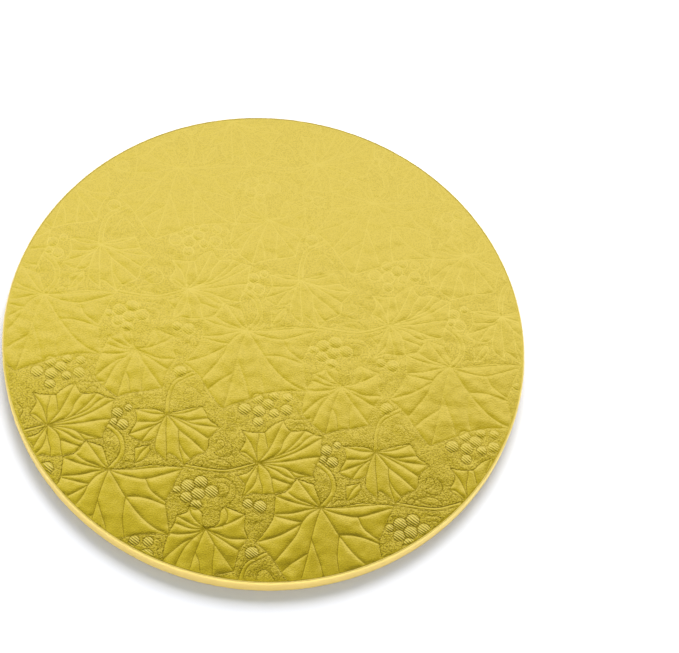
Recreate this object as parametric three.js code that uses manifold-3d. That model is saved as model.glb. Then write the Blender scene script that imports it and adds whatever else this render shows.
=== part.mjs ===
// Round cake drum: a stiff board wrapped in embossed gold foil paper, with a white paper disc
// glued under it. Millimetres, +Z up, origin at the middle of the underside.

import * as THREE from 'three';
import { mergeVertices } from 'three/addons/utils/BufferGeometryUtils.js';
import Module from 'manifold-3d';

const wasm = await Module();
wasm.setup();

// Driving sizes
const BOARD_DIAMETER = 304.8;
const BOARD_THICKNESS = 12;
const FOIL_THICKNESS = 0.25;
const PAPER_THICKNESS = 0.2;
const PAPER_MARGIN = 1.6;
const HEM_WIDTH = 14;
const TOP_EDGE_RADIUS = 1.2;
const BOTTOM_EDGE_RADIUS = 1;
const CORE_CLEARANCE = 0.15;

// Embossing: heights above the plain face of the foil
const RIDGE_HEIGHT = 0.45;
const VALLEY_HEIGHT = 0.14;
const GRAPE_HEIGHT = 0.4;
const STEM_HEIGHT = 0.25;
const RELIEF_ROOT = 0.12;
const RELIEF_MARGIN = 0.5;

// Half-drop repeat of the embossing
const REPEAT_ACROSS = 120.8;
const ROW_SPACING = 101.3;

// Fineness
const ROUND_STEPS = 72;
const EDGE_STEPS = 3;
const GRAPE_SIDES = 6;
const STEM_STEPS = 7;

const BOARD_RADIUS = BOARD_DIAMETER / 2;
const RELIEF_RADIUS = BOARD_RADIUS - TOP_EDGE_RADIUS - RELIEF_MARGIN;
const HEM_INNER_RADIUS = BOARD_RADIUS - HEM_WIDTH;

// One repeat of the embossing. A leaf has the point where its pleats meet, and its outline
// anticlockwise; a third value of 1 marks a lobe's tip, where a ridge ends.
const LEAVES = [
  {
    heart: [-71.7, -100],
    outline: [
      [-31.4, -90.6, 1], [-40, -91.6], [-50, -93], [-58, -96], [-67, -98.9], [-72.5, -97],
      [-75, -92], [-78.2, -87, 1], [-88, -85.3, 1], [-91, -90], [-93, -94.2], [-98.4, -97.4, 1],
      [-97.4, -106], [-97.4, -112, 1], [-100.8, -121], [-104.4, -127.4, 1], [-94.8, -133.7],
      [-86.8, -142.6, 1], [-80, -150], [-76.6, -152, 1], [-72, -149], [-62, -143],
      [-54.5, -138, 1], [-42, -133.8], [-30.8, -132, 1], [-33.4, -124], [-36.6, -114, 1],
      [-35.8, -109], [-33.6, -99],
    ],
  },
  {
    heart: [9.3, -80],
    outline: [
      [43.6, -69.4, 1], [43, -62], [43, -57, 1], [38, -56.6], [32, -55.2, 1], [25, -57], [21.6, -55],
      [19, -51.2, 1], [14, -55], [9.8, -60.6], [4, -61.9, 1], [-3.2, -62.2, 1], [0, -67.5],
      [-2.2, -75.4, 1], [2, -78], [6.6, -80.4], [4.6, -87], [-0.6, -89.8, 1], [4.8, -95],
      [4.2, -102.4, 1], [10, -99], [15, -98.8, 1], [21.6, -97.2], [28.4, -93.6, 1], [31, -89],
      [32, -85, 1], [41, -82.2, 1], [41.8, -76],
    ],
  },
  {
    heart: [-46.8, -60.4],
    outline: [
      [-15.4, -62.6, 1], [-22.3, -59.2], [-24.3, -56.3], [-28, -51.6, 1], [-35, -54.3], [-42, -57.7],
      [-48.5, -59.3], [-56, -58.8], [-65.4, -60.5, 1], [-62.8, -68], [-65.6, -76.8, 1], [-62, -79],
      [-57.5, -80, 1], [-52.4, -78.8], [-50, -76], [-48.5, -84], [-41.4, -89, 1], [-41.2, -84],
      [-36.5, -85.8], [-30.9, -89.6, 1], [-27, -84], [-21, -79.5, 1], [-19.6, -78.2], [-20.3, -71],
      [-18.2, -67],
    ],
  },
  {
    heart: [-12, -124.6],
    outline: [
      [12.2, -126, 1], [9, -120], [8.2, -112, 1], [1, -110.8], [-4, -109.3, 1], [-5.8, -113],
      [-5.6, -119], [-9.6, -123.1], [-14.3, -121.5], [-15.6, -116], [-19, -113.5], [-23.6, -112.9, 1],
      [-24.3, -117], [-29.3, -119.9, 1], [-29.7, -124], [-31.6, -130.8, 1], [-32.4, -140],
      [-31.2, -146.7, 1], [-25.5, -151.7], [-16.6, -156.7, 1], [-8, -152.2], [1, -149.2],
      [8, -146.2, 1], [8, -139], [9.1, -132.5],
    ],
  },
  {
    heart: [-56, -86],
    outline: [
      [-51.4, -84.6, 1], [-52.6, -80.8], [-60.4, -84.4, 1], [-59.2, -90], [-58.6, -93.6, 1],
      [-54.2, -90.6],
    ],
  },
];

// A grape is its middle and its radius.
const GRAPES = [
  [-4, -48.4, 3.3], [4.3, -48.2, 3.1], [8.6, -42.9, 3.2], [2.2, -40.9, 2.8], [13, -47.3, 2.4],
  [19.6, -44.4, 3.2], [11.2, -37.4, 2.5], [5, -54.6, 2.8],
  [-26.5, -100.7, 3.3], [-20.2, -97, 3.1], [-20.4, -104, 3.5], [-13.2, -100.8, 3.4],
  [-26.2, -107.7, 2.8], [-19.4, -110.4, 2.4], [-30.8, -105.2, 1.9], [-6.4, -104.1, 2.9],
  [-74.6, -64.8, 2.7], [-70.4, -70.4, 2.9], [-69, -60.6, 2], [15.7, -133.8, 3.5],
  [8.2, -105.4, 2.5], [15.2, -105.6, 3.4],
];

// A stem is its width and the points it runs through.
const STEMS = [
  { width: 2.6, route: [[-71.4, -98.6], [-67.4, -92], [-67, -85.5], [-70.5, -78.6], [-78.6, -73.6]] },
  { width: 1.8, route: [[-32, -88.6], [-20, -89.6], [-8, -88.6], [1, -84.8], [8.6, -80.6]] },
  { width: 2.2, route: [[-47, -60.4], [-48, -50], [-46, -39.6], [-36.4, -31.4]] },
];

const MATERIALS = {
  foil_wrap: { color: 0xd8bd4e, metalness: 1, roughness: 0.32 },
  board_core: { color: 0xb89a70, metalness: 0, roughness: 0.9 },
  backing_paper: { color: 0xf0eef4, metalness: 0, roughness: 0.7 },
};

function weld(geometry) {
  geometry.deleteAttribute('normal');
  geometry.deleteAttribute('uv');
  return mergeVertices(geometry, 1e-5);
}

function toSolid(geometry) {
  const welded = weld(geometry);
  return new wasm.Manifold(new wasm.Mesh({
    numProp: 3,
    vertProperties: new Float32Array(welded.attributes.position.array),
    triVerts: new Uint32Array(welded.index.array),
  }));
}

function toGeometry(solid) {
  const mesh = solid.getMesh();
  const geometry = new THREE.BufferGeometry();
  geometry.setAttribute('position', new THREE.BufferAttribute(mesh.vertProperties, 3));
  geometry.setIndex(new THREE.BufferAttribute(mesh.triVerts, 1));
  geometry.computeVertexNormals();
  return geometry;
}

function turned(profile, steps = ROUND_STEPS) {
  const points = profile.map(([radius, height]) => new THREE.Vector2(radius, height));
  return new THREE.LatheGeometry(points, steps).rotateX(Math.PI / 2);
}

function cornerArc(middleRadius, middleHeight, radius, fromDegrees, toDegrees) {
  return Array.from({ length: EDGE_STEPS + 1 }, (_, step) => {
    const angle = THREE.MathUtils.degToRad(
      THREE.MathUtils.lerp(fromDegrees, toDegrees, step / EDGE_STEPS));
    return [middleRadius + radius * Math.cos(angle), middleHeight + radius * Math.sin(angle)];
  });
}

// The plain foil: face, rounded edge, side and turned-under hem, one wall thick throughout.
function plainFoil() {
  const topArcRadius = BOARD_RADIUS - TOP_EDGE_RADIUS;
  const topArcHeight = BOARD_THICKNESS - TOP_EDGE_RADIUS;
  const hemArcRadius = BOARD_RADIUS - BOTTOM_EDGE_RADIUS;
  const hemArcHeight = PAPER_THICKNESS + BOTTOM_EDGE_RADIUS;
  return turned([
    [0, BOARD_THICKNESS],
    ...cornerArc(topArcRadius, topArcHeight, TOP_EDGE_RADIUS, 90, 0),
    ...cornerArc(hemArcRadius, hemArcHeight, BOTTOM_EDGE_RADIUS, 0, -90),
    [HEM_INNER_RADIUS, PAPER_THICKNESS],
    [HEM_INNER_RADIUS, PAPER_THICKNESS + FOIL_THICKNESS],
    ...cornerArc(hemArcRadius, hemArcHeight, BOTTOM_EDGE_RADIUS - FOIL_THICKNESS, -90, 0),
    ...cornerArc(topArcRadius, topArcHeight, TOP_EDGE_RADIUS - FOIL_THICKNESS, 0, 90),
    [0, BOARD_THICKNESS - FOIL_THICKNESS],
  ].reverse());
}

// The board fills the wrap up to a small clearance; the hem is pressed into its lower face.
function coreBoard() {
  const inner = FOIL_THICKNESS + CORE_CLEARANCE;
  const topArcRadius = BOARD_RADIUS - TOP_EDGE_RADIUS;
  const topArcHeight = BOARD_THICKNESS - TOP_EDGE_RADIUS;
  const hemArcRadius = BOARD_RADIUS - BOTTOM_EDGE_RADIUS;
  const hemArcHeight = PAPER_THICKNESS + BOTTOM_EDGE_RADIUS;
  const hemSeat = PAPER_THICKNESS + FOIL_THICKNESS;
  const stepRadius = HEM_INNER_RADIUS - CORE_CLEARANCE;
  return turned([
    [0, PAPER_THICKNESS],
    [stepRadius, PAPER_THICKNESS],
    [stepRadius, hemSeat],
    [hemArcRadius - inner, hemSeat],
    [BOARD_RADIUS - inner, hemArcHeight],
    [BOARD_RADIUS - inner, topArcHeight],
    [topArcRadius - inner, BOARD_THICKNESS - FOIL_THICKNESS],
    [0, BOARD_THICKNESS - FOIL_THICKNESS],
  ]);
}

function paperDisc() {
  const radius = BOARD_RADIUS - PAPER_MARGIN;
  return turned([[0, 0], [radius, 0], [radius, PAPER_THICKNESS], [0, PAPER_THICKNESS]]);
}

// A pleated leaf: a low drum whose round side is drawn out to the outline, high at the tips
// and low between them, so that its top falls into ridges and valleys from the heart.
function leaf({ heart, outline }) {
  const rise = BOARD_THICKNESS + RELIEF_ROOT;
  const geometry = weld(new THREE.CylinderGeometry(1, 1, 2, outline.length).rotateX(Math.PI / 2));
  const place = geometry.attributes.position;
  const stepAngle = (2 * Math.PI) / outline.length;
  for (let index = 0; index < place.count; index += 1) {
    const onTop = place.getZ(index) > 0;
    const onRim = Math.hypot(place.getX(index), place.getY(index)) > 0.5;
    const turn = Math.atan2(place.getY(index), place.getX(index)) / stepAngle;
    const corner = (Math.round(turn) + outline.length) % outline.length;
    const [x, y, tip] = onRim ? outline[corner] : [...heart, 1];
    const top = BOARD_THICKNESS + (tip ? RIDGE_HEIGHT : VALLEY_HEIGHT);
    place.setXYZ(index, x, y, onTop ? top : rise - 2 * RELIEF_ROOT);
  }
  return toSolid(geometry);
}

function grape([x, y, radius]) {
  const bottom = BOARD_THICKNESS - RELIEF_ROOT;
  const shoulder = BOARD_THICKNESS + GRAPE_HEIGHT * 0.7;
  const top = BOARD_THICKNESS + GRAPE_HEIGHT;
  const profile = [[0, bottom], [radius, bottom], [radius * 0.72, shoulder], [0, top]];
  return toSolid(turned(profile, GRAPE_SIDES).translate(x, y, 0));
}

function stem({ width, route }) {
  const curve = new THREE.SplineCurve(route.map(([x, y]) => new THREE.Vector2(x, y)));
  const sides = [[], []];
  for (let step = 0; step <= STEM_STEPS; step += 1) {
    const middle = curve.getPointAt(step / STEM_STEPS);
    const along = curve.getTangentAt(step / STEM_STEPS);
    const across = new THREE.Vector2(-along.y, along.x).multiplyScalar(width / 2);
    sides[0].push(middle.clone().add(across));
    sides[1].unshift(middle.clone().sub(across));
  }
  const shape = new THREE.Shape([...sides[0], ...sides[1]]);
  const depth = STEM_HEIGHT + RELIEF_ROOT;
  const geometry = new THREE.ExtrudeGeometry(shape, { depth, bevelEnabled: false });
  return toSolid(geometry.translate(0, 0, BOARD_THICKNESS - RELIEF_ROOT));
}

// Every place of the repeat that can reach the board, rows shifted by half a repeat in turn.
function repeatPlaces() {
  const rows = Math.ceil((2 * BOARD_RADIUS) / ROW_SPACING) + 1;
  const columns = Math.ceil(BOARD_RADIUS / REPEAT_ACROSS) + 2;
  const places = [];
  for (let row = -rows; row <= rows; row += 1) {
    for (let column = -columns; column <= columns; column += 1) {
      places.push([(column + (row % 2) / 2) * REPEAT_ACROSS, row * ROW_SPACING]);
    }
  }
  return places;
}

function onBoard(points, [shiftX, shiftY]) {
  return points.some(([x, y]) => Math.hypot(x + shiftX, y + shiftY) < RELIEF_RADIUS);
}

function embossing() {
  const leaves = LEAVES.map((motif) => ({ solid: leaf(motif), points: motif.outline }));
  const grapes = GRAPES.map((motif) => ({ solid: grape(motif), points: [motif] }));
  const stems = STEMS.map((motif) => ({ solid: stem(motif), points: motif.route }));
  const motifs = [...leaves, ...grapes, ...stems];
  let relief = null;
  for (const place of repeatPlaces()) {
    for (const { solid, points } of motifs) {
      if (onBoard(points, place)) {
        const copy = solid.translate([...place, 0]);
        relief = relief ? relief.add(copy) : copy;
      }
    }
  }
  const bottom = BOARD_THICKNESS - FOIL_THICKNESS;
  const top = BOARD_THICKNESS + 2 * RIDGE_HEIGHT;
  const field = turned([[0, bottom], [RELIEF_RADIUS, bottom], [RELIEF_RADIUS, top], [0, top]]);
  return relief.intersect(toSolid(field));
}

function foilWrap() {
  return toGeometry(toSolid(plainFoil()).add(embossing()));
}

function piece(name, geometry) {
  const mesh = new THREE.Mesh(geometry, new THREE.MeshStandardMaterial(MATERIALS[name]));
  mesh.name = name;
  return mesh;
}

const board = new THREE.Group();
board.add(piece('foil_wrap', foilWrap()));
board.add(piece('board_core', weld(coreBoard())));
board.add(piece('backing_paper', weld(paperDisc())));

export default board;
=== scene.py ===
import math

import bpy
import numpy as np
from mathutils import Matrix, Vector
from mathutils.geometry import delaunay_2d_cdt


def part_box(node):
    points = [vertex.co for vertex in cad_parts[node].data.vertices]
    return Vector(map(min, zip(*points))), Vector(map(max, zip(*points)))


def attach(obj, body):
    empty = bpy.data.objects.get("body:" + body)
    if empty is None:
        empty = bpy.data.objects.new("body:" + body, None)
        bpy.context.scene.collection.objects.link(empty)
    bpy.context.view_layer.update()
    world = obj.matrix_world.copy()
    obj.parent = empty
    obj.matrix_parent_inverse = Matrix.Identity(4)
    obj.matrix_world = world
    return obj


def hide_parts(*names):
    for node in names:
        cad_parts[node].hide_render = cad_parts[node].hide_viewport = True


# A cake board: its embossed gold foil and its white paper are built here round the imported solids
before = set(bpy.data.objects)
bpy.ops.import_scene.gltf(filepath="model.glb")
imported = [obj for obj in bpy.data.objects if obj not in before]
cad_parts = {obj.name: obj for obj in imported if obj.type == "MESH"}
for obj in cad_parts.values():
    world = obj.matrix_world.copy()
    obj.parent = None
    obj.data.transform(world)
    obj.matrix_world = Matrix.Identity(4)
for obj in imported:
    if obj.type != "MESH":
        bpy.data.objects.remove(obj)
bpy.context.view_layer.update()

# Sizes of the foil and the paper, in metres, from the imported solids where they give them
MM = 0.001
WRAP_LOW, WRAP_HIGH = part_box("foil_wrap")
PAPER_LOW, PAPER_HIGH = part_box("backing_paper")
CORE_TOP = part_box("board_core")[1][2]
RADIUS = (WRAP_HIGH[0] - WRAP_LOW[0]) / 2
HEM_HEIGHT = PAPER_HIGH[2]
FOIL = 0.25 * MM
FACE = CORE_TOP + FOIL
TOP_EDGE = 1.2 * MM
BOTTOM_EDGE = 1.0 * MM
HEM_WIDTH = 14 * MM
PAPER_RADIUS = (PAPER_HIGH[0] - PAPER_LOW[0]) / 2

# Embossing, in metres. A leaf steps up beside its lines and puffs up further between them. A line
# is a groove with a narrower painted stripe in it, painted shade on the near side and painted
# highlight on the far side, and every shape is eased down towards its lines.
LEAF_RISE = 0.04 * MM
LEAF_EDGE = 0.3 * MM
PUFF = 0.11 * MM
PUFF_WIDTH = 3.6 * MM
GRAPE_RISE = 0.18 * MM
STEM_RISE = 0.1 * MM
GROOVE = 0.04 * MM
GROOVE_WIDTH = 0.34 * MM
LINE_WIDTH = 0.26 * MM
SOFT_EDGE = 0.5 * MM
RELIEF_MARGIN = 0.5 * MM

# From the near to the far side, in millimetres: how firmly the embossing is pressed in, how much
# painted shade (above 0) or painted highlight (below 0) its lines take, and how strongly the
# ground's grain and the grapes are marked: real grain in the bumps, and painted light in the
# colour, with darker specks and hatching and paler grapes towards the near side
PRESS_AT = (-75, -50, -35, 0, 40, 90)
PRESS = (1.0, 0.8, 0.6, 0.42, 0.33, 0.22)
LINE_SHADE_AND_HIGHLIGHT = (0.76, 0.44, 0.06, -0.15, -0.25, -0.12)
GRAIN_AND_PAINTED_LIGHT = (1.0, 0.68, 0.36, 0.22, 0.18, 0.1)

# Wrinkles and dents of the foil round the rim: their greatest depth in metres, how often each
# wave of the wrinkles goes round the board, how far they slant down the side and how much more
# than half of it they take. Then how many dents there are, their widths in millimetres, their
# depths as a share of the greatest, and their height as a share of the side.
RIM_WRINKLE = 0.14 * MM
RIM_DENT = 0.22 * MM
RIM_WAVES = (31, 53, 89, 127, 181)
RIM_SLANT = 0.03
RIM_LIFT = 0.1
RIM_DENTS = 150
DENT_WIDTHS = (0.6, 2.4)
DENT_DEPTHS = (0.3, 1)
DENT_HEIGHT = 0.25

# How much of the rim's colour, a brighter gold that is painted light, and of its creases the
# rounded top edge takes
EDGE_SHARE = 0.5

# Half-drop repeat of the embossing; the pattern's points below are in millimetres
REPEAT_ACROSS = 120.8
ROW_SPACING = 101.3

# Mesh fineness, in millimetres: along and beside the pressed lines, in between, and where the
# embossing fades out before the plain edge. FILL_JITTER is a share of FILL_STEP.
LINE_STEP = 1.0
LINE_SIDE = 0.46
LINE_GAP = 0.7 * LINE_SIDE
FILL_STEP = 1.25
FILL_GAP = 0.85
FILL_JITTER = 0.18
CELL = 0.1
PLAIN_GAP = 0.1
FADE_WIDTH = 0.8

# Steps of the mesh round the board, over a rounded edge, down the side and round a grape
ROUND_STEPS = 480
EDGE_STEPS = 4
SIDE_STEPS = 5
GRAPE_STEPS = 18

# Spare cells beside the board in the grid that keeps points apart, and the seed of random draws
SPARE_CELLS = 80
SEED = 7

# The photograph's camera: it looks down at the middle of the gold face
CAMERA_TURN = math.radians(4.42)
CAMERA_HEIGHT = math.radians(62.83)
CAMERA_ROLL = math.radians(6.36)
CAMERA_PAN = math.radians(-2.16)
CAMERA_TILT = math.radians(-0.286)
CAMERA_DISTANCE = 7.44 * RADIUS
CAMERA_CLIP = 50
LENS = 102.9
SENSOR = 36.0

# The foil's gold on the face; a dark gold for the painted shade in its lines and hatching and for
# its specks; a pale gold for painted highlights on its far lines and its grapes; and a brighter
# gold round the rim, painted light for its lit side
GOLD = (0.77, 0.61, 0.095, 1)
SHADE_AND_SPECK_GOLD = (0.36, 0.27, 0.02, 1)
HIGHLIGHT_GOLD = (1.0, 0.83, 0.2, 1)
RIM_LIT_GOLD = (1.0, 0.8, 0.27, 1)
FACE_ROUGHNESS = 0.15
RIM_ROUGHNESS = 0.66

# Fine grain of the foil. A noise is its scale per metre and its detail, and a third value below 1
# draws it out over the board's height. Depths are in metres.
WAVY_NOISE = (100, 1)
WAVY_DEPTH = 0.26 * MM
GROUND_NOISE = (1050, 3)
GROUND_DEPTH = 0.11 * MM
FINE_NOISE = (1400, 2)
FINE_DEPTH = 0.042 * MM
CREASE_NOISE = (300, 3, 0.3)
CREASE_DEPTH = 0.3 * MM
BUCKLE_NOISE = (90, 2, 0.5)
BUCKLE_DEPTH = 0.6 * MM

# Slanted hatching across the grapes
HATCH_TURN = math.radians(28)
HATCH_SCALE = 235
HATCH_WANDER = 5.0
HATCH_DETAIL = 0.35
HATCH_DEPTH = 0.06 * MM

# Dark specks and scribbled lines on the ground: the noise, the part of it that they take, and how
# dark they are. Scribbles run where the folded noise is near zero.
SPECK_NOISE = (1300, 1)
SPECK_RANGE = (0.48, 0.6)
SPECK_DARK = 0.46
SCRIBBLE_NOISE = (330, 1)
SCRIBBLE_FOLD = 0.055
SCRIBBLE_RANGE = (0.016, 0.002)
SCRIBBLE_DARK = 0.22

# The share of the specks that is on the whole face, the painted shade in the hatching, and the
# painted highlight on a grape
SPECK_SHARE = 0.36
HATCH_SHADE = 0.28
GRAPE_HIGHLIGHT = 0.6

# White paper with a faint fibre, and the brown board inside
PAPER_WHITE = (0.80, 0.79, 0.85, 1)
PAPER_ROUGHNESS = 0.6
FIBRE_NOISE = (900, 4)
FIBRE_DEPTH = 0.1 * MM
FIBRE_STRENGTH = 0.15
BOARD_DARK = (0.42, 0.29, 0.17, 1)
BOARD_LIGHT = (0.56, 0.42, 0.27, 1)
BOARD_NOISE = (300, 5)
BOARD_ROUGHNESS = 0.9

# Studio that the foil mirrors, from low beyond the board, over it, to the front. Where one light
# gives way to the next, a plane leans at a height in degrees, and the change runs from one
# distance to another across it.
PANEL_LOW = (0.96, 0.95, 1.2, 1)
PANEL_HIGH = (1.11, 1.11, 1.5, 1)
PANEL_CHANGE = (65, -0.25, -0.03)
CEILING_LEFT = (0.81, 0.8, 0.26, 1)
CEILING_RIGHT = (0.56, 0.53, 0.09, 1)
SIDE_CHANGE = (90, -0.22, 0.22)
CEILING_NEAR = (0.24, 0.23, 0.1, 1)
NEAR_CHANGE = (65, 0.05, 0.26)
CEILING_CHANGE = (65, -0.075, 0.045)
HORIZON = (1.25, 1.22, 1.45, 1)
HORIZON_CHANGE = (0, 0.2, 0.55)
FRONT = (2.0, 1.96, 2.35, 1)
FRONT_CHANGE = (40, -0.3, 0.15)

# Lights on the floor and the paper: their place and size in metres, and their power in watts
LIGHT_COLOUR = (1.0, 0.9, 0.74)
KEY_PLACE = (0.0, 0.8, 1.14)
KEY_SIZE = (0.9, 0.7)
KEY_POWER = 31
SKY_PLACE = (0, 0, 1.5)
SKY_SIZE = (2, 2)
SKY_POWER = 6

# The floor reaches this far from the middle, in metres
FLOOR_REACH = 4
FLOOR_COLOUR = (0.58, 0.64, 0.78, 1)
FLOOR_ROUGHNESS = 0.9
FLOOR_SHINE = 0.1

# One repeat of the leaves: the outline, where a third value of 1 is a lobe's tip at which the
# outline turns sharply, and the veins that are pressed in as fine grooves
LEAVES = [
    {
        "outline": [
            (-31.4, -90.6, 1), (-40, -91.6), (-50, -93), (-58, -96), (-67, -98.9), (-71.7, -99.5, 1),
            (-72.8, -97), (-75.4, -92), (-78.2, -87, 1), (-88, -85.3, 1), (-91, -90), (-93, -94.2),
            (-98.4, -97.4, 1), (-97.4, -106), (-97.4, -112), (-100.8, -121), (-104.4, -127.4, 1),
            (-94.8, -133.7), (-86.8, -142.6), (-80, -150), (-76.6, -152, 1), (-72, -149),
            (-62, -143), (-54.5, -138), (-42, -133.8), (-30.8, -132, 1), (-33.4, -124),
            (-36.6, -114), (-35.8, -109), (-33.6, -99),
        ],
        "veins": [
            [
                (-71.7, -100), (-66, -106.5), (-59.3, -114.3), (-49.5, -123.5), (-40, -129.3),
                (-32, -131.7),
            ],
            [(-59.3, -114.3), (-52, -113), (-45, -113.4), (-37, -115)],
            [(-59.3, -114.3), (-59, -120), (-58.3, -127), (-56.5, -133.5), (-55, -137.8)],
            [(-71.7, -100), (-66, -101.4), (-58, -102.1), (-50.5, -101.6), (-42, -97.6), (-33.5, -93)],
            [(-50.5, -101.6), (-46.5, -107.5), (-41, -111), (-36.8, -113)],
            [(-71.7, -100), (-60, -97.8), (-50, -94.8), (-42, -92.6)],
            [(-71.7, -100), (-72.8, -105), (-73.7, -112), (-74.2, -120), (-74.7, -131), (-76.4, -150)],
            [(-74.1, -119), (-70, -127), (-66.5, -133.5), (-63.5, -141)],
            [(-71.7, -100), (-77.3, -104.5), (-80.9, -110.8), (-82.3, -117), (-84.8, -123), (-91.8, -136)],
            [(-80.9, -111.3), (-86, -116), (-93, -121.5), (-103, -126.7)],
            [(-71.7, -100), (-79, -102.6), (-87, -106.3), (-97, -108.9)],
            [(-80.9, -110.8), (-87, -110.6), (-96, -109.9)],
            [(-71.7, -100), (-80, -100.2), (-90, -99.5), (-97.6, -97.9)],
            [(-71.7, -100), (-79, -98.8), (-86, -97.3), (-91, -94.8)],
            [(-71.7, -100), (-76, -97), (-80.5, -92.6), (-84.5, -88.6), (-87.4, -85.9)],
            [(-74.6, -128), (-77.8, -131.2), (-82.8, -136), (-87, -141.6)],
        ],
    },
    {
        "outline": [
            (43.6, -69.4, 1), (43, -62), (43, -57, 1), (38, -56.6), (32, -55.2), (25, -57), (21.6, -55),
            (19, -51.2, 1), (14, -55), (9.8, -60.6, 1), (4, -61.9), (-3.2, -62.2, 1), (0, -67.5),
            (-2.2, -75.4, 1), (2, -78), (8.4, -80.4, 1), (7.4, -83), (4.6, -87), (-0.6, -89.8, 1),
            (4.8, -95), (4.2, -102.4, 1), (10, -99), (15, -98.8), (21.6, -97.2), (28.4, -93.6),
            (31, -89), (32, -85, 1), (41, -82.2, 1), (41.8, -76),
        ],
        "veins": [
            [(9.3, -80), (20, -77.6), (28, -75), (36, -71.8), (42.6, -69.8)],
            [(9.3, -80), (20, -79.8), (26, -80.6), (31.6, -84.6)],
            [(26, -80.6), (34, -82.2), (40.6, -82.2)],
            [(9.3, -80), (17.5, -74.2), (20.6, -69.5), (21.4, -64), (24.4, -57.4)],
            [(9.3, -80), (12.8, -73.6), (14.6, -69), (16.5, -62), (18.7, -52.6)],
            [(13.2, -69.6), (11.6, -65), (10, -61)],
            [(9.3, -80), (7.8, -74), (7, -70), (7.2, -65), (6.8, -62.2)],
            [(9.3, -80), (7, -74.5), (4, -69.5), (0, -65), (-2.8, -62.5)],
            [(9.3, -80), (5, -77.4), (1, -75.2), (-1.6, -75.4)],
            [(9.3, -80), (20, -73.4), (25.4, -67.6), (30, -60.4), (32, -55.8)],
            [(20, -73.4), (29, -67), (33.6, -60.6), (37.4, -56.9)],
            [(9.3, -80), (22, -74.2), (32, -67.4), (42.4, -57.8)],
            [(9.3, -80), (15, -83), (18.4, -87.4), (20, -92.5), (21.8, -96.8)],
            [(9.3, -80), (10.6, -85), (12.4, -90), (14.4, -94), (15.2, -98.4)],
            [(9.3, -80), (10, -84), (10.2, -90), (9, -95), (6, -99.6), (4.6, -101.8)],
            [(9.3, -80), (8.2, -84), (6.4, -89), (5, -94)],
            [(18.4, -87.4), (25, -88.7), (30.6, -89.6)],
            [(9.3, -80), (20, -82.4), (26, -85), (31.4, -86)],
        ],
    },
    {
        "outline": [
            (-15.4, -62.6, 1), (-22.3, -59.2), (-24.3, -56.3), (-28, -51.6, 1), (-35, -54.3),
            (-42, -57.7), (-46.8, -59.9, 1), (-49.5, -59.2), (-56, -58.8), (-65.4, -60.5, 1),
            (-62.8, -68), (-65.6, -76.8, 1), (-62, -79), (-57.5, -80), (-52.4, -78.8), (-50, -76, 1),
            (-48.5, -84), (-41.4, -89, 1), (-41.2, -84), (-36.5, -85.8), (-30.9, -89.6, 1),
            (-27, -84), (-21, -79.5, 1), (-20, -76), (-20.3, -71), (-18.2, -67),
        ],
        "veins": [
            [(-46.8, -60.4), (-40, -61.4), (-34, -61.8), (-28, -59.8), (-23.6, -58.4)],
            [(-46.8, -60.4), (-40, -62.6), (-30, -66.4), (-21, -70.6)],
            [(-40, -61.6), (-30, -63.4), (-17, -62.8)],
            [(-46.8, -60.4), (-42, -64.6), (-38, -68.5), (-30, -73.2), (-21.4, -79)],
            [(-38.3, -68.4), (-37, -74.5), (-33.4, -80.4), (-28, -85.2)],
            [(-46.8, -60.4), (-45.8, -67), (-45, -72), (-43, -80), (-41.5, -88)],
            [(-46.8, -60.4), (-48.4, -65), (-49.4, -70), (-49.8, -75.6)],
            [(-48.4, -65), (-53.5, -71), (-56, -76), (-57.5, -79.6)],
            [(-46.8, -60.4), (-51, -65.8), (-56, -67), (-62, -68.2)],
            [(-49.4, -66.4), (-57, -71.6), (-65, -76.4)],
            [(-46.8, -60.4), (-55, -61.6), (-64.4, -60.8)],
            [(-37, -74.5), (-35.6, -80), (-33.4, -84.6), (-31.2, -89)],
            [(-46.8, -60.4), (-38, -58), (-32, -54.8), (-28.4, -52.2)],
        ],
    },
    {
        "outline": [
            (12.2, -126, 1), (9, -120), (8.2, -112, 1), (1, -110.8), (-4, -109.3, 1), (-5.8, -113),
            (-5.6, -119), (-8, -122.6), (-12, -124.1, 1), (-14.6, -121.5), (-15.6, -116), (-19, -113.5),
            (-23.6, -112.9, 1), (-24.3, -117), (-29.3, -119.9, 1), (-29.7, -124), (-31.6, -130.8, 1),
            (-32.4, -140), (-31.2, -146.7), (-25.5, -151.7), (-16.6, -156.7, 1), (-8, -152.2),
            (1, -149.2), (8, -146.2, 1), (8, -139), (9.1, -132.5),
        ],
        "veins": [
            [(-12, -124.6), (-5, -126.4), (2, -127.8), (11.4, -126.4)],
            [(-12, -124.6), (-7, -127), (0, -130), (4, -132), (8.8, -133.8)],
            [(-12, -124.6), (-8, -129.4), (-5.5, -132.6), (0, -138), (4, -142), (7.6, -145.8)],
            [(-5.8, -132.3), (-5, -137), (-4.7, -143), (-3.4, -150)],
            [(-12, -124.6), (-13.4, -130), (-14.6, -137), (-15.6, -143), (-16.5, -156)],
            [(-14.8, -139.6), (-12, -144), (-10, -151)],
            [(-12, -124.6), (-17, -130.6), (-21, -137), (-23, -143), (-25, -151)],
            [(-12, -124.6), (-18, -128.2), (-26, -130.6), (-31, -130.8)],
            [(-12, -124.6), (-20, -126), (-29, -124.4)],
            [(-17, -130.6), (-23, -135.4), (-28, -141.6), (-31, -146)],
            [(-12, -124.6), (-18, -121), (-21.6, -117.4), (-23.2, -113.4)],
            [(-12, -124.6), (-5, -122), (2, -117.6), (7.6, -112.6)],
            [(-4.4, -109.8), (-2, -113), (-1.3, -117), (-3, -121.2)],
            [(-12, -124.6), (-20, -123.4), (-28.6, -120.2)],
        ],
    },
    {
        "outline": [
            (-51.4, -84.6, 1), (-52.6, -80.8, 1), (-60.4, -84.4, 1), (-59.2, -90), (-58.6, -93.6, 1),
            (-54.2, -90.6),
        ],
        "veins": [[(-53, -81.6), (-56, -86), (-58.2, -92.4)]],
    },
]

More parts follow.
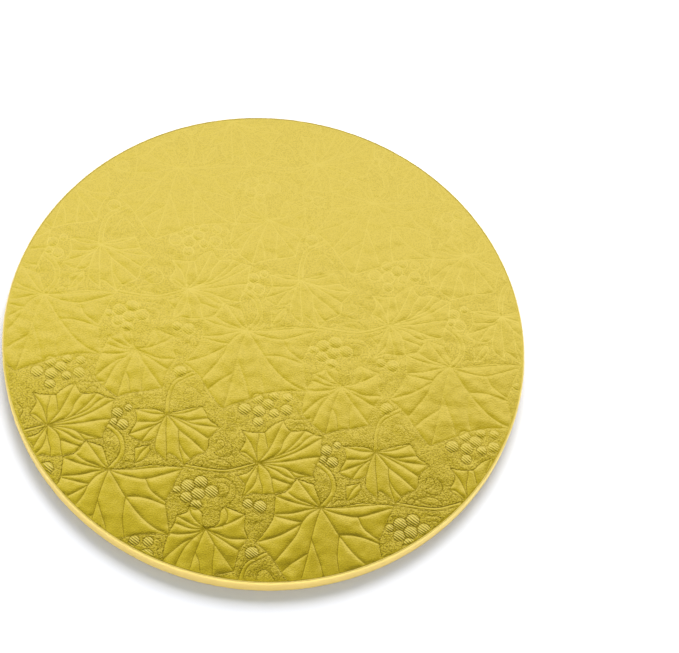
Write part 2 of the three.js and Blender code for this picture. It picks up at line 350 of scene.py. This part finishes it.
# A grape is its middle and its radius.
GRAPES = [
    (-4, -48.4, 3.8), (4.3, -48.2, 3.8), (8.6, -42.9, 3.6), (2.2, -40.9, 3.4), (13, -47.8, 3.0),
    (19.6, -44.4, 3.6), (11.2, -37.4, 3.0), (5, -54.8, 3.2),
    (-26.6, -101, 3.9), (-20, -97.6, 3.9), (-20.2, -104.6, 4.0), (-13, -102, 3.9),
    (-26.2, -108.2, 3.5), (-20, -111.4, 3.3), (-32.2, -104.6, 2.5),
    (-74.6, -64.8, 3.3), (-70.2, -71.4, 3.5), (-75.4, -70.6, 2.4), (-69, -60.6, 2.4),
    (15.7, -133.8, 3.9), (8.2, -105.4, 3.0), (15.2, -105.8, 3.8), (-41.6, -137.9, 3.0),
]

# A stem is its width and the points it runs through.
STEMS = [
    (2.8, [(-71.4, -99.4), (-67.4, -92), (-67, -85.5), (-70.5, -78.6), (-78.6, -73.6)]),
    (1.9, [(-31.6, -89.4), (-20, -89.6), (-8, -88.6), (1, -84.8), (8.8, -80.4)]),
    (2.4, [(-47, -59.8), (-48, -50), (-46, -39.6), (-36.4, -31.4)]),
]

# Curls and tendrils pressed into the ground between the leaves
CURLS = [
    [(-10, -70), (-7, -72.6), (-6.1, -76), (-8, -79.6), (-13, -80.3), (-16, -79)],
    [(-16, -72.4), (-15.4, -70.4), (-12.6, -70.2), (-11, -72.6), (-12.6, -75.4), (-15, -77.4)],
    [(-19.6, -84.4), (-14, -82.2), (-9, -82), (-4.6, -85.2), (-9, -86.4), (-16, -86.2), (-19.6, -84.4)],
    [(-12, -93.3), (-7, -92.6), (-3, -94.2), (0, -97.5), (0.4, -103), (-1.4, -106.8)],
    [(-11, -96.6), (-6.6, -95.8), (-3.6, -98.4), (-4, -102.4), (-7.4, -104.6), (-9.6, -104)],
    [(11.6, -109.2), (14.6, -110.6), (18.6, -109)],
    [(13.6, -119), (14.6, -116.4), (17.4, -115)],
    [(20.8, -147), (21.4, -143.6), (24.4, -141.8), (27.6, -143.6), (30.4, -146.4)],
    [(-65.6, -96.2), (-63.4, -93.6), (-60.6, -93.4)],
    [(-24.5, -86.5), (-22, -84.4), (-20.4, -86), (-21.6, -88)],
    [(21.5, -49.6), (28, -49), (33.6, -47.4)],
    [(-78.4, -76), (-79.6, -79), (-78.8, -82.6), (-77.6, -84.8)],
    [(24, -34.5), (26.5, -37), (24.6, -41), (27, -45)],
    [(-94.6, -53.6), (-91.6, -51), (-88, -52.4)],
]


def spline(points, step=LINE_STEP):
    """Points about one step apart on a smooth curve through the given points."""
    p = np.array([q[:2] for q in points], float)
    if len(p) == 2:
        count = max(1, round(np.hypot(*(p[1] - p[0])) / step))
        return p[0] + (p[1] - p[0]) * np.linspace(0, 1, count + 1)[:, None]
    ends = np.vstack([2 * p[0] - p[1], p, 2 * p[-1] - p[-2]])
    curve = [p[:1]]
    for a, b, c, d in zip(ends, ends[1:], ends[2:], ends[3:]):
        count = max(1, round(np.hypot(*(c - b)) / step))
        t = np.linspace(0, 1, count + 1)[1:, None]
        curve.append(0.5 * (2 * b + (c - a) * t + (2 * a - 5 * b + 4 * c - d) * t ** 2
                            + (3 * b - a - 3 * c + d) * t ** 3))
    return np.vstack(curve)


def outline_curve(outline):
    """The closed outline, smooth between its tips and sharp at them; it starts at a tip."""
    tips = [k for k, point in enumerate(outline) if len(point) > 2]
    closed = outline + outline[:1]
    stops = tips + [len(outline)]
    stretches = [spline(closed[a:b + 1]) for a, b in zip(stops, stops[1:])]
    return np.vstack([s[:-1] for s in stretches] + [stretches[-1][-1:]])


def places():
    """Every place of the repeat that can reach the board, rows shifted by half in turn."""
    rows = math.ceil(2 * RADIUS / MM / ROW_SPACING) + 1
    columns = math.ceil(RADIUS / MM / REPEAT_ACROSS) + 2
    return [np.array([(column + (row % 2) / 2) * REPEAT_ACROSS, row * ROW_SPACING])
            for row in range(-rows, rows + 1) for column in range(-columns, columns + 1)]


def inside(x, y, outline):
    """Whether each point lies inside a closed outline, by counting the edges it crosses."""
    hit = np.zeros(len(x), bool)
    for (x0, y0), (x1, y1) in zip(outline, np.roll(outline, -1, axis=0)):
        if y0 != y1:
            across = (y0 > y) != (y1 > y)
            hit ^= across & (x < (x1 - x0) * (y - y0) / (y1 - y0) + x0)
    return hit


def distance(x, y, lines):
    """Distance from each point to the nearest of the lines."""
    best = np.full(len(x), np.inf)
    for line in lines:
        for (x0, y0), (x1, y1) in zip(line, line[1:]):
            dx, dy = x1 - x0, y1 - y0
            t = np.clip(((x - x0) * dx + (y - y0) * dy) / (dx * dx + dy * dy + 1e-12), 0, 1)
            best = np.minimum(best, np.hypot(x - x0 - t * dx, y - y0 - t * dy))
    return best


def motifs():
    """The motifs of one repeat: their kind, their pressed lines and what shapes them."""
    found = []
    for leaf in LEAVES:
        outline = outline_curve(leaf["outline"])
        veins = [spline(vein) for vein in leaf["veins"]]
        found.append(("leaf", [np.vstack([outline, outline[:1]])] + veins, outline))
    turn = np.linspace(0, 2 * math.pi, GRAPE_STEPS + 1)
    for x, y, radius in GRAPES:
        outline = np.column_stack([x + radius * np.cos(turn), y + radius * np.sin(turn)])
        found.append(("grape", [outline], (x, y, radius)))
    for width, route in STEMS:
        middle = spline(route)
        along = np.gradient(middle, axis=0)
        along /= np.hypot(*along.T)[:, None]
        across = np.column_stack([-along[:, 1], along[:, 0]]) * width / 2
        found.append(("stem", [middle + across, middle - across], (middle, width)))
    for curl in CURLS:
        found.append(("curl", [spline(curl)], None))
    return found


# The motifs, and the radius in millimetres where the embossing ends and the plain edge starts
MOTIFS = motifs()
LIMIT = (RADIUS - TOP_EDGE - RELIEF_MARGIN) / MM
PLAIN_START = LIMIT + PLAIN_GAP


def box_of(lines, margin):
    """Lowest and highest corners of a box round the lines."""
    every = np.vstack(lines)
    return every.min(axis=0) - margin, every.max(axis=0) + margin


def relief(x, y):
    """Height above the plain face in millimetres, and the share of ground, grape and line."""
    height = np.zeros(len(x))
    ground = np.ones(len(x))
    grape = np.zeros(len(x))
    groove = np.full(len(x), np.inf)
    reach = 3 * GROOVE_WIDTH / MM
    for shift in places():
        for kind, lines, form in MOTIFS:
            low, high = box_of(lines, reach)
            low, high = low + shift, high + shift
            near = np.where((x > low[0]) & (x < high[0]) & (y > low[1]) & (y < high[1]))[0]
            if not len(near):
                continue
            px, py = x[near] - shift[0], y[near] - shift[1]
            gap = distance(px, py, lines)
            groove[near] = np.minimum(groove[near], gap)
            if kind == "leaf":
                on = inside(px, py, form)
                rise = LEAF_RISE * (1 - np.exp(-gap[on] * MM / LEAF_EDGE))
                rise += PUFF * (1 - np.exp(-gap[on] * MM / PUFF_WIDTH))
                height[near[on]] = rise / MM
                ground[near[on]] = 0
                grape[near[on]] = 0
            elif kind == "grape":
                across = np.hypot(px - form[0], py - form[1]) / form[2]
                on = (across < 1) & (ground[near] > 0)
                height[near[on]] = GRAPE_RISE / MM * (1 - across[on] ** 2)
                ground[near[on]] = 0
                grape[near[on]] = 1
            elif kind == "stem":
                middle, width = form
                across = distance(px, py, [middle]) / (width / 2)
                on = (across < 1) & (ground[near] > 0)
                height[near[on]] = STEM_RISE / MM * (1 - across[on] ** 2)
                ground[near[on]] = 0
    # The stripe along each pressed line; the colour later makes it painted shade on the near side and
    # painted highlight on the far side
    line = np.exp(-(groove * MM / LINE_WIDTH) ** 2)
    height *= 1 - np.exp(-(groove * MM / SOFT_EDGE) ** 2)
    height -= GROOVE / MM * np.exp(-(groove * MM / GROOVE_WIDTH) ** 2)
    return height, ground, grape, line


def face_points(rng):
    """Points along every pressed line, beside it and in between, and the edges along the lines."""
    centre, beside = [], []
    for shift in places():
        for _, lines, _ in MOTIFS:
            for line in lines:
                along = np.gradient(line, axis=0)
                along /= np.hypot(*along.T)[:, None] + 1e-9
                across = np.column_stack([-along[:, 1], along[:, 0]]) * LINE_SIDE
                centre.append(line + shift)
                beside += [line + across + shift, line - across + shift]
    size = int(2 * RADIUS / MM / CELL) + SPARE_CELLS
    taken = np.zeros((size, size), bool)

    def cell(points):
        """Row and column of the cell that each point falls in."""
        return ((points / CELL) + size / 2).astype(int)

    def mark(points, gap):
        """Take every cell that is nearer than the gap to one of the points."""
        reach = int(math.ceil(gap / CELL))
        spots = cell(points)
        for i in range(-reach, reach + 1):
            for j in range(-reach, reach + 1):
                if math.hypot(i, j) * CELL <= gap:
                    taken[spots[:, 0] + i, spots[:, 1] + j] = True

    def thin(runs, gap):
        """Points of the runs at least a gap apart, and the pairs that follow each other."""
        kept, pairs = [], []
        for run in runs:
            before = None
            for point, out in zip(run, np.hypot(*run.T)):
                i, j = cell(point)
                if out > LIMIT or taken[i, j]:
                    before = None
                    continue
                mark(point[None, :], gap)
                kept.append(point)
                if before is not None:
                    pairs.append((before, len(kept) - 1))
                before = len(kept) - 1
        return np.array(kept), pairs

    lines, pairs = thin([run for run in centre if np.hypot(*run.T).min() < LIMIT], LINE_GAP)
    sides, _ = thin([run for run in beside if np.hypot(*run.T).min() < LIMIT], LINE_GAP)
    mark(np.vstack([lines, sides]), FILL_GAP)
    count = int(RADIUS / MM / FILL_STEP) + 2
    i, j = np.meshgrid(np.arange(-count, count + 1), np.arange(-count, count + 1))
    grid = np.column_stack([(i + (j % 2) / 2).ravel(), (j * math.sqrt(3) / 2).ravel()]) * FILL_STEP
    grid = grid + rng.uniform(-FILL_JITTER, FILL_JITTER, grid.shape) * FILL_STEP
    grid = grid[np.hypot(*grid.T) < LIMIT]
    spots = cell(grid)
    grid = grid[~taken[spots[:, 0], spots[:, 1]]]
    return np.vstack([lines, sides, grid]), pairs


def ring(radius, height):
    """Points round the board; the radius is one number or one for each point."""
    turn = np.linspace(0, 2 * math.pi, ROUND_STEPS, endpoint=False)
    level = np.full(ROUND_STEPS, height)
    return np.column_stack([radius * np.cos(turn), radius * np.sin(turn), level])


def arc(middle_radius, middle_height, radius, start, stop):
    """Radius and height along part of a circle, from one angle to another in degrees."""
    steps = np.linspace(math.radians(start), math.radians(stop), EDGE_STEPS + 1)
    return [(middle_radius + radius * math.cos(a), middle_height + radius * math.sin(a))
            for a in steps]


def foil_profile():
    """Radius and height down the outside of the wrap, round the hem and back up its inside."""
    top, low = FACE - TOP_EDGE, HEM_HEIGHT + BOTTOM_EDGE
    side = [(RADIUS, h) for h in np.linspace(top, low, SIDE_STEPS + 1)[1:-1]]
    outside = arc(RADIUS - TOP_EDGE, top, TOP_EDGE, 90, 0) + side
    outside += arc(RADIUS - BOTTOM_EDGE, low, BOTTOM_EDGE, 0, -90)
    hem = [(RADIUS - HEM_WIDTH, HEM_HEIGHT), (RADIUS - HEM_WIDTH, HEM_HEIGHT + FOIL)]
    within = arc(RADIUS - BOTTOM_EDGE, low, BOTTOM_EDGE - FOIL, -90, 0)
    within += arc(RADIUS - TOP_EDGE, top, TOP_EDGE - FOIL, 0, 90)
    return outside + hem + within


def new_object(name, vertices, faces, smooth=True):
    """A mesh object in the scene."""
    mesh = bpy.data.meshes.new(name)
    mesh.from_pydata([tuple(v) for v in vertices], [], faces)
    mesh.validate()
    mesh.update()
    if smooth:
        mesh.shade_smooth()
    else:
        mesh.shade_flat()
    piece = bpy.data.objects.new(name, mesh)
    bpy.context.scene.collection.objects.link(piece)
    return piece


def add_attribute(piece, name, values):
    """One number for each vertex, for the material to read."""
    layer = piece.data.attributes.new(name, "FLOAT", "POINT")
    layer.data.foreach_set("value", np.ascontiguousarray(values, dtype=np.float32))


def rim_marks(level):
    """How far the foil is pushed in at one height of the rim: slanted wrinkles and small dents."""
    rng = np.random.default_rng(SEED + 1)
    turn = np.linspace(0, 2 * math.pi, ROUND_STEPS, endpoint=False)
    down = (FACE - level) / FACE
    wrinkle = np.zeros(ROUND_STEPS)
    for count in RIM_WAVES:
        phase = rng.uniform(0, 2 * math.pi)
        wrinkle += np.cos(count * (turn + RIM_SLANT * down) + phase) / len(RIM_WAVES)
    push = RIM_WRINKLE * np.clip(wrinkle + RIM_LIFT, 0, 1)
    for _ in range(RIM_DENTS):
        at, height = rng.uniform(0, 2 * math.pi), rng.uniform(0, 1)
        wide, deep = rng.uniform(*DENT_WIDTHS) * MM, rng.uniform(*DENT_DEPTHS) * RIM_DENT
        away = np.abs((turn - at + math.pi) % (2 * math.pi) - math.pi) * RADIUS
        off = (down - height) / DENT_HEIGHT
        push = np.maximum(push, deep * np.exp(-(away / wide) ** 2 - off ** 2))
    return push


def gold_foil_piece():
    """The whole wrap as one closed sheet: embossed face, rounded edge, side, hem and inside."""
    rng = np.random.default_rng(SEED)
    inner, pairs = face_points(rng)
    edge = ring((RADIUS - TOP_EDGE) / MM, 0)[:, :2]
    plain = ring(PLAIN_START, 0)[:, :2]
    flat = np.vstack([edge, plain, inner])
    first = len(edge) + len(plain)
    pairs = [(first + a, first + b) for a, b in pairs]
    result = delaunay_2d_cdt([Vector(p) for p in flat], pairs, [], 0, 1e-7)
    corners = np.array([tuple(v) for v in result[0]])
    height, ground, grape, line = relief(corners[:, 0], corners[:, 1])
    out = np.hypot(corners[:, 0], corners[:, 1])
    fade = np.clip((PLAIN_START - out) / FADE_WIDTH, 0, 1)
    # Painted light by position: the lines' stripe turns to painted shade on the near side and painted
    # highlight on the far side
    line *= fade * np.interp(corners[:, 1], PRESS_AT, LINE_SHADE_AND_HIGHLIGHT)
    # The grain and the grapes' marks fade towards the far side: real grain in the bumps, painted shade and
    # highlight in the colour
    grain_and_light = fade * np.interp(corners[:, 1], PRESS_AT, GRAIN_AND_PAINTED_LIGHT)
    height *= fade * np.interp(corners[:, 1], PRESS_AT, PRESS)
    top = np.column_stack([corners * MM, FACE + height * MM])
    faces = [tuple(f) for f in result[2]]
    vertices = [top]
    total = len(top)
    above = list(range(ROUND_STEPS))
    rim = [np.zeros(len(top))]
    for radius, level in foil_profile()[1:]:
        outer = radius > RADIUS - BOTTOM_EDGE + FOIL and HEM_HEIGHT < level < FACE
        vertices.append(ring(radius - rim_marks(level) if outer else radius, level))
        # The rim share sets the rim's rougher, brighter gold, whose brightness is painted light
        rim.append(np.full(ROUND_STEPS, EDGE_SHARE if level > FACE - TOP_EDGE else 1.0))
        below = list(range(total, total + ROUND_STEPS))
        for k in range(ROUND_STEPS):
            n = (k + 1) % ROUND_STEPS
            faces.append((above[k], below[k], below[n], above[n]))
        above = below
        total += ROUND_STEPS
    faces.append(tuple(reversed(above)))
    every = np.vstack(vertices)
    piece = new_object("gold_foil", every, faces)
    padding = np.zeros(len(every) - len(top))
    # The ground and grape shares carry the grain's strength and its painted shade, and the grapes' painted
    # highlight
    add_attribute(piece, "ground", np.concatenate([ground * grain_and_light, padding]))
    add_attribute(piece, "grape", np.concatenate([grape * grain_and_light, padding]))
    # The line share is the lines' painted shade and painted highlight
    add_attribute(piece, "line", np.concatenate([line, padding]))
    add_attribute(piece, "rim", np.concatenate(rim))
    return piece


def white_paper_piece():
    """The paper disc on the underside, round where the plain solid has flats."""
    low, high = ring(PAPER_RADIUS, PAPER_LOW[2]), ring(PAPER_RADIUS, PAPER_HIGH[2])
    order = list(range(ROUND_STEPS))
    faces = []
    for k in order:
        n = (k + 1) % ROUND_STEPS
        faces.append((k, n, ROUND_STEPS + n, ROUND_STEPS + k))
    faces += [tuple(reversed(order)), tuple(ROUND_STEPS + k for k in order)]
    return new_object("white_paper", np.vstack([low, high]), faces, False)


class Builder:
    """Adds linked nodes to one material or world."""

    def __init__(self, owner):
        owner.use_nodes = True
        self.tree = owner.node_tree

    def fill(self, node, sockets):
        """Give each socket of a node a plain value or the output of another node."""
        for socket, value in sockets.items():
            if isinstance(value, bpy.types.NodeSocket):
                self.tree.links.new(value, node.inputs[socket])
            else:
                node.inputs[socket].default_value = value

    def add(self, kind, output, sockets=None, **settings):
        """One output of a new node with these settings and sockets."""
        node = self.tree.nodes.new(kind)
        for name, value in settings.items():
            setattr(node, name, value)
        self.fill(node, sockets or {})
        return node.outputs[output]

    def attribute(self, name):
        """The number that each vertex has under this name."""
        return self.add("ShaderNodeAttribute", "Fac", attribute_name=name)

    def noise(self, scale, detail, stretch=1.0):
        """Noise in the piece's own space, about 0 to 1."""
        place = self.add("ShaderNodeTexCoord", "Object")
        sized = self.add("ShaderNodeMapping", "Vector", {"Vector": place, "Scale": (1, 1, stretch)})
        sockets = {"Vector": sized, "Scale": scale, "Detail": detail}
        return self.add("ShaderNodeTexNoise", "Fac", sockets)

    def math(self, operation, *values, clamp=False):
        """The result of one sum, such as a product, on plain values and outputs."""
        sockets = dict(enumerate(values))
        return self.add("ShaderNodeMath", 0, sockets, operation=operation, use_clamp=clamp)

    def ranged(self, value, start, stop, low, high, kind="LINEAR"):
        """The value moved from its range of start to stop into low to high, and kept in it."""
        sockets = {
            "Value": value,
            "From Min": start,
            "From Max": stop,
            "To Min": low,
            "To Max": high,
        }
        return self.add("ShaderNodeMapRange", "Result", sockets, interpolation_type=kind)

    def bump(self, height, depth, under=None, strength=1.0):
        """The surface's direction with this relief on it, over the one under it."""
        sockets = {"Height": height, "Distance": depth, "Strength": strength}
        if under is not None:
            sockets["Normal"] = under
        return self.add("ShaderNodeBump", "Normal", sockets)

    def mix(self, factor, first, second):
        """A colour between two; a mix node's colours are its sockets 6 and 7, and its output 2."""
        sockets = {"Factor": factor, 6: first, 7: second}
        return self.add("ShaderNodeMix", 2, sockets, data_type="RGBA")


def new_material(name):
    """A material with what builds its nodes, and its shader."""
    material = bpy.data.materials.new(name)
    build = Builder(material)
    return material, build, material.node_tree.nodes["Principled BSDF"]


def gold_foil_material():
    """Embossed gold: the vertices say how much they are ground, grape, line and rim. The colour paints
    shade and highlight into the lines, shade into the hatching, a highlight onto the grapes and light onto
    the rim.
    """
    material, build, shader = new_material("gold_foil")
    ground, grape, line, rim = [build.attribute(n) for n in ("ground", "grape", "line", "rim")]
    place = build.add("ShaderNodeTexCoord", "Object")
    turn = {"Vector": place, "Rotation": (0, 0, HATCH_TURN)}
    wave = {
        "Vector": build.add("ShaderNodeMapping", "Vector", turn),
        "Scale": HATCH_SCALE,
        "Distortion": HATCH_WANDER,
        "Detail Scale": HATCH_DETAIL,
    }
    hatch = build.add("ShaderNodeTexWave", "Fac", wave, bands_direction="Y")
    hatched = build.math("MULTIPLY", hatch, grape)

    grain = build.math("MULTIPLY", build.noise(*GROUND_NOISE), ground)
    creases = build.math("MULTIPLY", build.noise(*CREASE_NOISE), rim)
    buckles = build.math("MULTIPLY", build.noise(*BUCKLE_NOISE), rim)
    normal = build.bump(build.noise(*WAVY_NOISE), WAVY_DEPTH)
    normal = build.bump(grain, GROUND_DEPTH, normal)
    normal = build.bump(hatched, HATCH_DEPTH, normal)
    normal = build.bump(build.noise(*FINE_NOISE), FINE_DEPTH, normal)
    normal = build.bump(creases, CREASE_DEPTH, normal)
    normal = build.bump(buckles, BUCKLE_DEPTH, normal)

    specks = build.ranged(build.noise(*SPECK_NOISE), *SPECK_RANGE, 0, SPECK_DARK)
    wander = build.math("PINGPONG", build.noise(*SCRIBBLE_NOISE), SCRIBBLE_FOLD)
    scribble = build.ranged(wander, *SCRIBBLE_RANGE, 0, SCRIBBLE_DARK)
    # Darker gold: painted shade of the lines, with the grain's specks and scribbles
    dark = build.math("MULTIPLY_ADD", build.math("ADD", specks, scribble), ground, line)
    # Painted shade in the hatching on the grapes
    dark = build.math("MULTIPLY_ADD", hatched, HATCH_SHADE, dark)
    dark = build.math("MULTIPLY_ADD", specks, SPECK_SHARE, dark, clamp=True)
    # Painted highlight on the grapes
    grapes = build.math("MULTIPLY", grape, GRAPE_HIGHLIGHT)
    # Paler gold: painted highlight on the far side's lines and on the grapes
    pale = build.math("MULTIPLY_ADD", line, -1.0, grapes, clamp=True)
    face = build.mix(dark, build.mix(pale, GOLD, HIGHLIGHT_GOLD), SHADE_AND_SPECK_GOLD)
    build.fill(shader, {
        # Round the rim, a brighter gold painted as light on its side
        "Base Color": build.mix(rim, face, RIM_LIT_GOLD),
        "Metallic": 1.0,
        "Roughness": build.ranged(rim, 0, 1, FACE_ROUGHNESS, RIM_ROUGHNESS),
        "Normal": normal,
    })
    return material


def paper_material():
    """Smooth matt white paper with a faint fibre."""
    material, build, shader = new_material("white_paper")
    normal = build.bump(build.noise(*FIBRE_NOISE), FIBRE_DEPTH, strength=FIBRE_STRENGTH)
    build.fill(shader, {
        "Base Color": PAPER_WHITE,
        "Roughness": PAPER_ROUGHNESS,
        "Normal": normal,
    })
    return material


def core_material():
    """Raw brown board, blotched by its fibre."""
    material, build, shader = new_material("core_board")
    tint = build.mix(build.noise(*BOARD_NOISE), BOARD_DARK, BOARD_LIGHT)
    build.fill(shader, {"Base Color": tint, "Roughness": BOARD_ROUGHNESS})
    return material


def give(piece, material):
    """Make this the piece's only material."""
    piece.data.materials.clear()
    piece.data.materials.append(material)


def set_camera():
    """The photograph's view: turned and raised about the face, then rolled, tilted and panned."""
    camera = bpy.data.objects.new("camera", bpy.data.cameras.new("camera"))
    bpy.context.scene.collection.objects.link(camera)
    camera.data.sensor_width = SENSOR
    camera.data.lens = LENS
    camera.data.clip_end = CAMERA_CLIP
    away = math.cos(CAMERA_HEIGHT)
    level = Vector((math.sin(CAMERA_TURN) * away, -math.cos(CAMERA_TURN) * away, 0))
    back = level + Vector((0, 0, math.sin(CAMERA_HEIGHT)))
    right = Vector((math.cos(CAMERA_TURN), math.sin(CAMERA_TURN), 0))
    up = back.cross(right)
    turn = (Matrix.Rotation(CAMERA_PAN, 3, "Y") @ Matrix.Rotation(CAMERA_TILT, 3, "X")
            @ Matrix.Rotation(CAMERA_ROLL, 3, "Z"))
    rows = turn @ Matrix((right, -up, -back))
    axes = Matrix((rows[0], -rows[1], -rows[2])).transposed().to_4x4()
    eye = Vector((0, 0, FACE)) + back * CAMERA_DISTANCE
    camera.matrix_world = Matrix.Translation(eye) @ axes
    bpy.context.scene.camera = camera


def area_light(name, place, size, power):
    """A soft light aimed at the middle of the board, which the foil doesn't mirror."""
    data = bpy.data.lights.new(name, "AREA")
    data.shape = "RECTANGLE"
    data.size, data.size_y = size
    data.energy = power
    data.color = LIGHT_COLOUR
    light = bpy.data.objects.new(name, data)
    bpy.context.scene.collection.objects.link(light)
    light.location = place
    light.rotation_euler = (Vector() - Vector(place)).to_track_quat("-Z", "Y").to_euler()
    light.visible_glossy = False


def set_world():
    """A bright panel beyond the board up to about 65 degrees, a dimmer ceiling, a bright front."""
    world = bpy.data.worlds.new("studio")
    bpy.context.scene.world = world
    build = Builder(world)
    way = build.add("ShaderNodeTexCoord", "Generated")
    across = Vector((1, 0, 0))
    beyond = Vector((-math.sin(CAMERA_TURN), math.cos(CAMERA_TURN), 0))

    def past(side, height, start, stop):
        """0 to 1 across a plane through the board that leans at one height, on one side."""
        lean = math.radians(height)
        axis = -side * math.sin(lean) + Vector((0, 0, math.cos(lean)))
        dot = build.add("ShaderNodeVectorMath", "Value", {0: way, 1: axis}, operation="DOT_PRODUCT")
        return build.ranged(dot, start, stop, 0, 1, "SMOOTHSTEP")

    panel = build.mix(past(beyond, *PANEL_CHANGE), PANEL_LOW, PANEL_HIGH)
    ceiling = build.mix(past(across, *SIDE_CHANGE), CEILING_RIGHT, CEILING_LEFT)
    ceiling = build.mix(past(beyond, *NEAR_CHANGE), ceiling, CEILING_NEAR)
    studio = build.mix(past(beyond, *CEILING_CHANGE), panel, ceiling)
    studio = build.mix(past(beyond, *HORIZON_CHANGE), HORIZON, studio)
    studio = build.mix(past(-beyond, *FRONT_CHANGE), FRONT, studio)
    build.fill(world.node_tree.nodes["Background"], {"Color": studio})


def set_stage():
    """A plain pale floor, the studio and the lights."""
    signs = ((-1, -1), (1, -1), (1, 1), (-1, 1))
    corners = [(x * FLOOR_REACH, y * FLOOR_REACH, 0) for x, y in signs]
    floor = new_object("floor", corners, [(0, 1, 2, 3)], False)
    material, build, shader = new_material("floor")
    build.fill(shader, {
        "Base Color": FLOOR_COLOUR,
        "Roughness": FLOOR_ROUGHNESS,
        "Specular IOR Level": FLOOR_SHINE,
    })
    give(floor, material)
    set_world()
    area_light("key", KEY_PLACE, KEY_SIZE, KEY_POWER)
    area_light("sky_panel", SKY_PLACE, SKY_SIZE, SKY_POWER)
    bpy.context.scene.view_settings.view_transform = "Standard"


set_camera()
set_stage()

gold_foil = gold_foil_piece()
give(gold_foil, gold_foil_material())
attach(gold_foil, "root")
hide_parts("foil_wrap")

white_paper = white_paper_piece()
give(white_paper, paper_material())
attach(white_paper, "root")
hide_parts("backing_paper")

give(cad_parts["board_core"], core_material())
